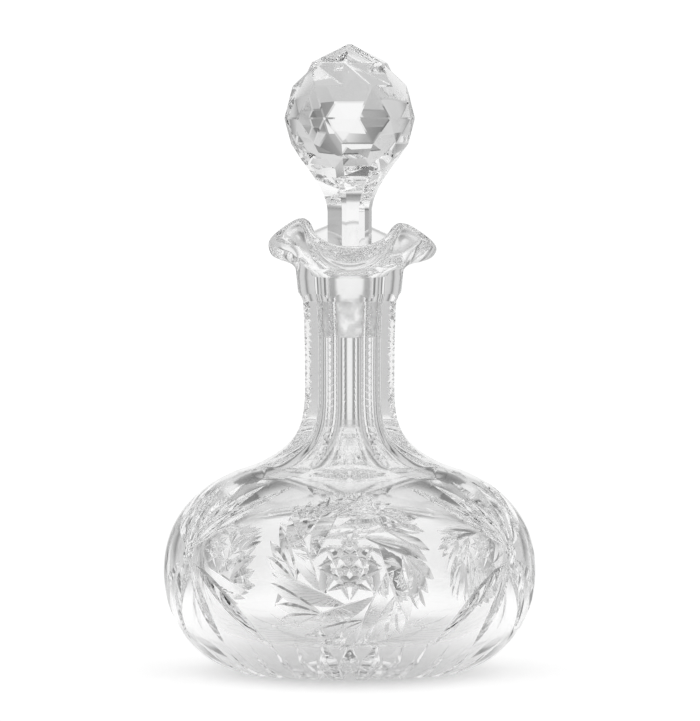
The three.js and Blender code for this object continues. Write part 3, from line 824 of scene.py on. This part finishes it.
def chamfer_ball(obj):
    """Takes the sharpness off the edges between the ball's facets."""
    work = bmesh.new()
    work.from_mesh(obj.data)
    belt = (BALL_HEIGHT - BALL_TOP * 0.5) * MM
    edges = [edge for edge in work.edges
             if min(v.co.z for v in edge.verts) > belt and edge.calc_face_angle(0) > math.radians(10)]
    bmesh.ops.bevel(work, geom=edges, offset=BALL_CHAMFER * MM, segments=1, affect="EDGES")
    work.to_mesh(obj.data)
    work.free()


def drop_slivers(obj):
    """Takes out pairs of faces that lie back to back on the same corners, and joins
    corners that all but touch."""
    work = bmesh.new()
    work.from_mesh(obj.data)
    seen, slivers = {}, []
    for face in work.faces:
        other = seen.setdefault(frozenset(face.verts), face)
        if other is not face:
            slivers += [face, other]
    bmesh.ops.delete(work, geom=slivers, context="FACES")
    bmesh.ops.remove_doubles(work, verts=work.verts, dist=JOINING_DISTANCE * MM)
    work.to_mesh(obj.data)
    work.free()


def finish_surface(obj, cut_angle, blown_angle):
    """Smooth shading broken at edges sharper than an angle, which is wider on
    skin that no wheel has touched."""
    obj.data.shade_smooth()
    work = bmesh.new()
    work.from_mesh(obj.data)
    wheel_marks = obj.data.materials.find("cut_glass")
    for edge in work.edges:
        touched = any(face.material_index == wheel_marks for face in edge.link_faces)
        limit = math.radians(cut_angle if touched else blown_angle)
        edge.smooth = edge.calc_face_angle(0) < limit
    work.to_mesh(obj.data)
    work.free()


def grind(obj, low):
    """Gives the ground finish to the faces of the seat, from a height to the collar."""
    slot = obj.data.materials.find("ground_glass")
    for face in obj.data.polygons:
        centre = face.center / MM
        if low < centre.z < COLLAR_HEIGHT and centre.xy.length < GROUND_REACH:
            face.material_index = slot


bottle = cut_bottle()
drop_slivers(bottle)
grind(bottle, FOOT - SEAT_LENGTH - 0.2)
finish_surface(bottle, WHEEL_CUT_ANGLE, BLOWN_ANGLE)
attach(bottle, "bottle")
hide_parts("bottle")

vertices, faces = stopper_mesh()
stopper = mesh_object("ball_stopper", vertices, faces, (facet_glass, ground))
grind(stopper, 0)
chamfer_ball(stopper)
finish_surface(stopper, FACET_ANGLE, FACET_ANGLE)
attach(stopper, "stopper")
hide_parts("stopper")


# The studio

def pale_floor_painted_shadow():
    """A pale table top that glows of its own, with a painted shadow where its glow is
    dimmed under the bottle, and that fades out into the white behind it."""
    material = bpy.data.materials.new("pale_floor_painted_shadow")
    material.use_nodes = True
    nodes, links = material.node_tree.nodes, material.node_tree.links
    shader = nodes["Principled BSDF"]
    shader.inputs["Base Color"].default_value = (0.5, 0.5, 0.5, 1)
    shader.inputs["Roughness"].default_value = 0.9
    shader.inputs["Specular IOR Level"].default_value = 0
    shader.inputs["Emission Color"].default_value = (1, 1, 1, 1)
    place = nodes.new("ShaderNodeTexCoord")

    def distance(aspect):
        """Distance from the bottle's axis, where sideways steps count 1 / aspect."""
        squeeze = nodes.new("ShaderNodeMapping")
        squeeze.inputs["Scale"].default_value = (1 / aspect, 1, 1)
        links.new(place.outputs["Object"], squeeze.inputs["Vector"])
        length = nodes.new("ShaderNodeVectorMath")
        length.operation = "LENGTH"
        links.new(squeeze.outputs[0], length.inputs[0])
        return length.outputs["Value"]

    # Painted shadow: the floor's own glow is dimmed under the bottle, within an ellipse that is narrower
    # sideways, standing in for the bottle's cast shadow
    glow_with_painted_shadow = map_range(nodes, links, distance(PAINTED_SHADOW_ASPECT), PAINTED_SHADOW_FADE_START, PAINTED_SHADOW_END, PAINTED_SHADOW_GLOW, GLOW_AROUND)
    links.new(glow_with_painted_shadow, shader.inputs["Emission Strength"])
    links.new(map_range(nodes, links, distance(1), FLOOR_FADE, FLOOR_END, 1, 0), shader.inputs["Alpha"])
    mesh = bpy.data.meshes.new("floor")
    work = bmesh.new()
    bmesh.ops.create_circle(work, cap_ends=True, segments=96, radius=FLOOR_END)
    work.to_mesh(mesh)
    work.free()
    mesh.materials.append(material)
    floor = bpy.data.objects.new("floor", mesh)
    floor.location.z = -FLOOR_DROP
    bpy.context.scene.collection.objects.link(floor)


def soft_light():
    """Four soft boxes on the horizon, each with a dark flag and then a white
    reflector round it, a large one overhead and a white backdrop."""
    world = bpy.data.worlds.new("studio")
    bpy.context.scene.world = world
    world.use_nodes = True
    nodes, links = world.node_tree.nodes, world.node_tree.links
    background = nodes["Background"]
    background.inputs["Color"].default_value = (1, 1, 1, 1)

    def math_node(operation, *inputs):
        node = nodes.new("ShaderNodeMath")
        node.operation = operation
        for socket, value in zip(node.inputs, inputs):
            if isinstance(value, (int, float)):
                socket.default_value = value
            else:
                links.new(value, socket)
        return node.outputs[0]

    def blend(low, high, share):
        rest = math_node("SUBTRACT", 1.0, share)
        return math_node("ADD", math_node("MULTIPLY", low, rest), math_node("MULTIPLY", high, share))

    place = nodes.new("ShaderNodeTexCoord")
    parts = nodes.new("ShaderNodeSeparateXYZ")
    links.new(place.outputs["Generated"], parts.inputs[0])
    sideways, forward, height = (parts.outputs[axis] for axis in "XYZ")
    towards_box = math_node("MAXIMUM", math_node("ABSOLUTE", sideways), math_node("ABSOLUTE", forward))
    beside_box = math_node("MINIMUM", math_node("ABSOLUTE", sideways), math_node("ABSOLUTE", forward))
    above_box = math_node("MULTIPLY", height, BOX_SLIMNESS)
    off_box = math_node("SQRT", math_node("ADD", math_node("POWER", beside_box, 2.0),
                                          math_node("POWER", math_node("ABSOLUTE", above_box), 2.0)))
    angle = math_node("ARCTAN2", off_box, towards_box)
    ramp = nodes.new("ShaderNodeValToRGB")
    ramp.color_ramp.interpolation = "EASE"
    stops = ramp.color_ramp.elements
    stops.remove(stops[1])
    for i, (degrees, level) in enumerate(BOX_LEVELS):
        stop = stops.new(degrees / 90) if i else stops[0]
        stop.color = (level, level, level, 1)
    links.new(math_node("DIVIDE", angle, math.pi / 2), ramp.inputs["Fac"])
    grey = nodes.new("ShaderNodeRGBToBW")
    links.new(ramp.outputs["Color"], grey.inputs[0])
    level = blend(grey.outputs[0], FRONT_LEVEL, map_range(nodes, links, forward, -0.3, -0.7))
    level = blend(level, ZENITH_LEVEL, map_range(nodes, links, height, ZENITH_START, ZENITH_FULL))
    level = blend(level, BELOW_LEVEL, map_range(nodes, links, height, -0.12, -0.4))
    seen = nodes.new("ShaderNodeLightPath")
    level = blend(level, BACKDROP_LEVEL, seen.outputs["Is Camera Ray"])
    links.new(level, background.inputs["Strength"])


def photo_camera():
    """The photograph's view: level with the ball, from just under two metres."""
    data = bpy.data.cameras.new("camera")
    camera = bpy.data.objects.new("camera", data)
    bpy.context.scene.collection.objects.link(camera)
    camera.location = EYE
    camera.rotation_euler = (TARGET - EYE).to_track_quat("-Z", "Y").to_euler()
    data.sensor_fit = "HORIZONTAL"
    data.sensor_width = SENSOR_WIDTH
    data.lens = SENSOR_WIDTH * (TARGET - EYE).length / FRAME_WIDTH
    bpy.context.scene.camera = camera


pale_floor_painted_shadow()
soft_light()
photo_camera()
scene = bpy.context.scene
scene.view_settings.view_transform = "Standard"
scene.view_settings.gamma = 0.9
scene.cycles.max_bounces = 32
scene.cycles.transmission_bounces = 32
scene.cycles.glossy_bounces = 16
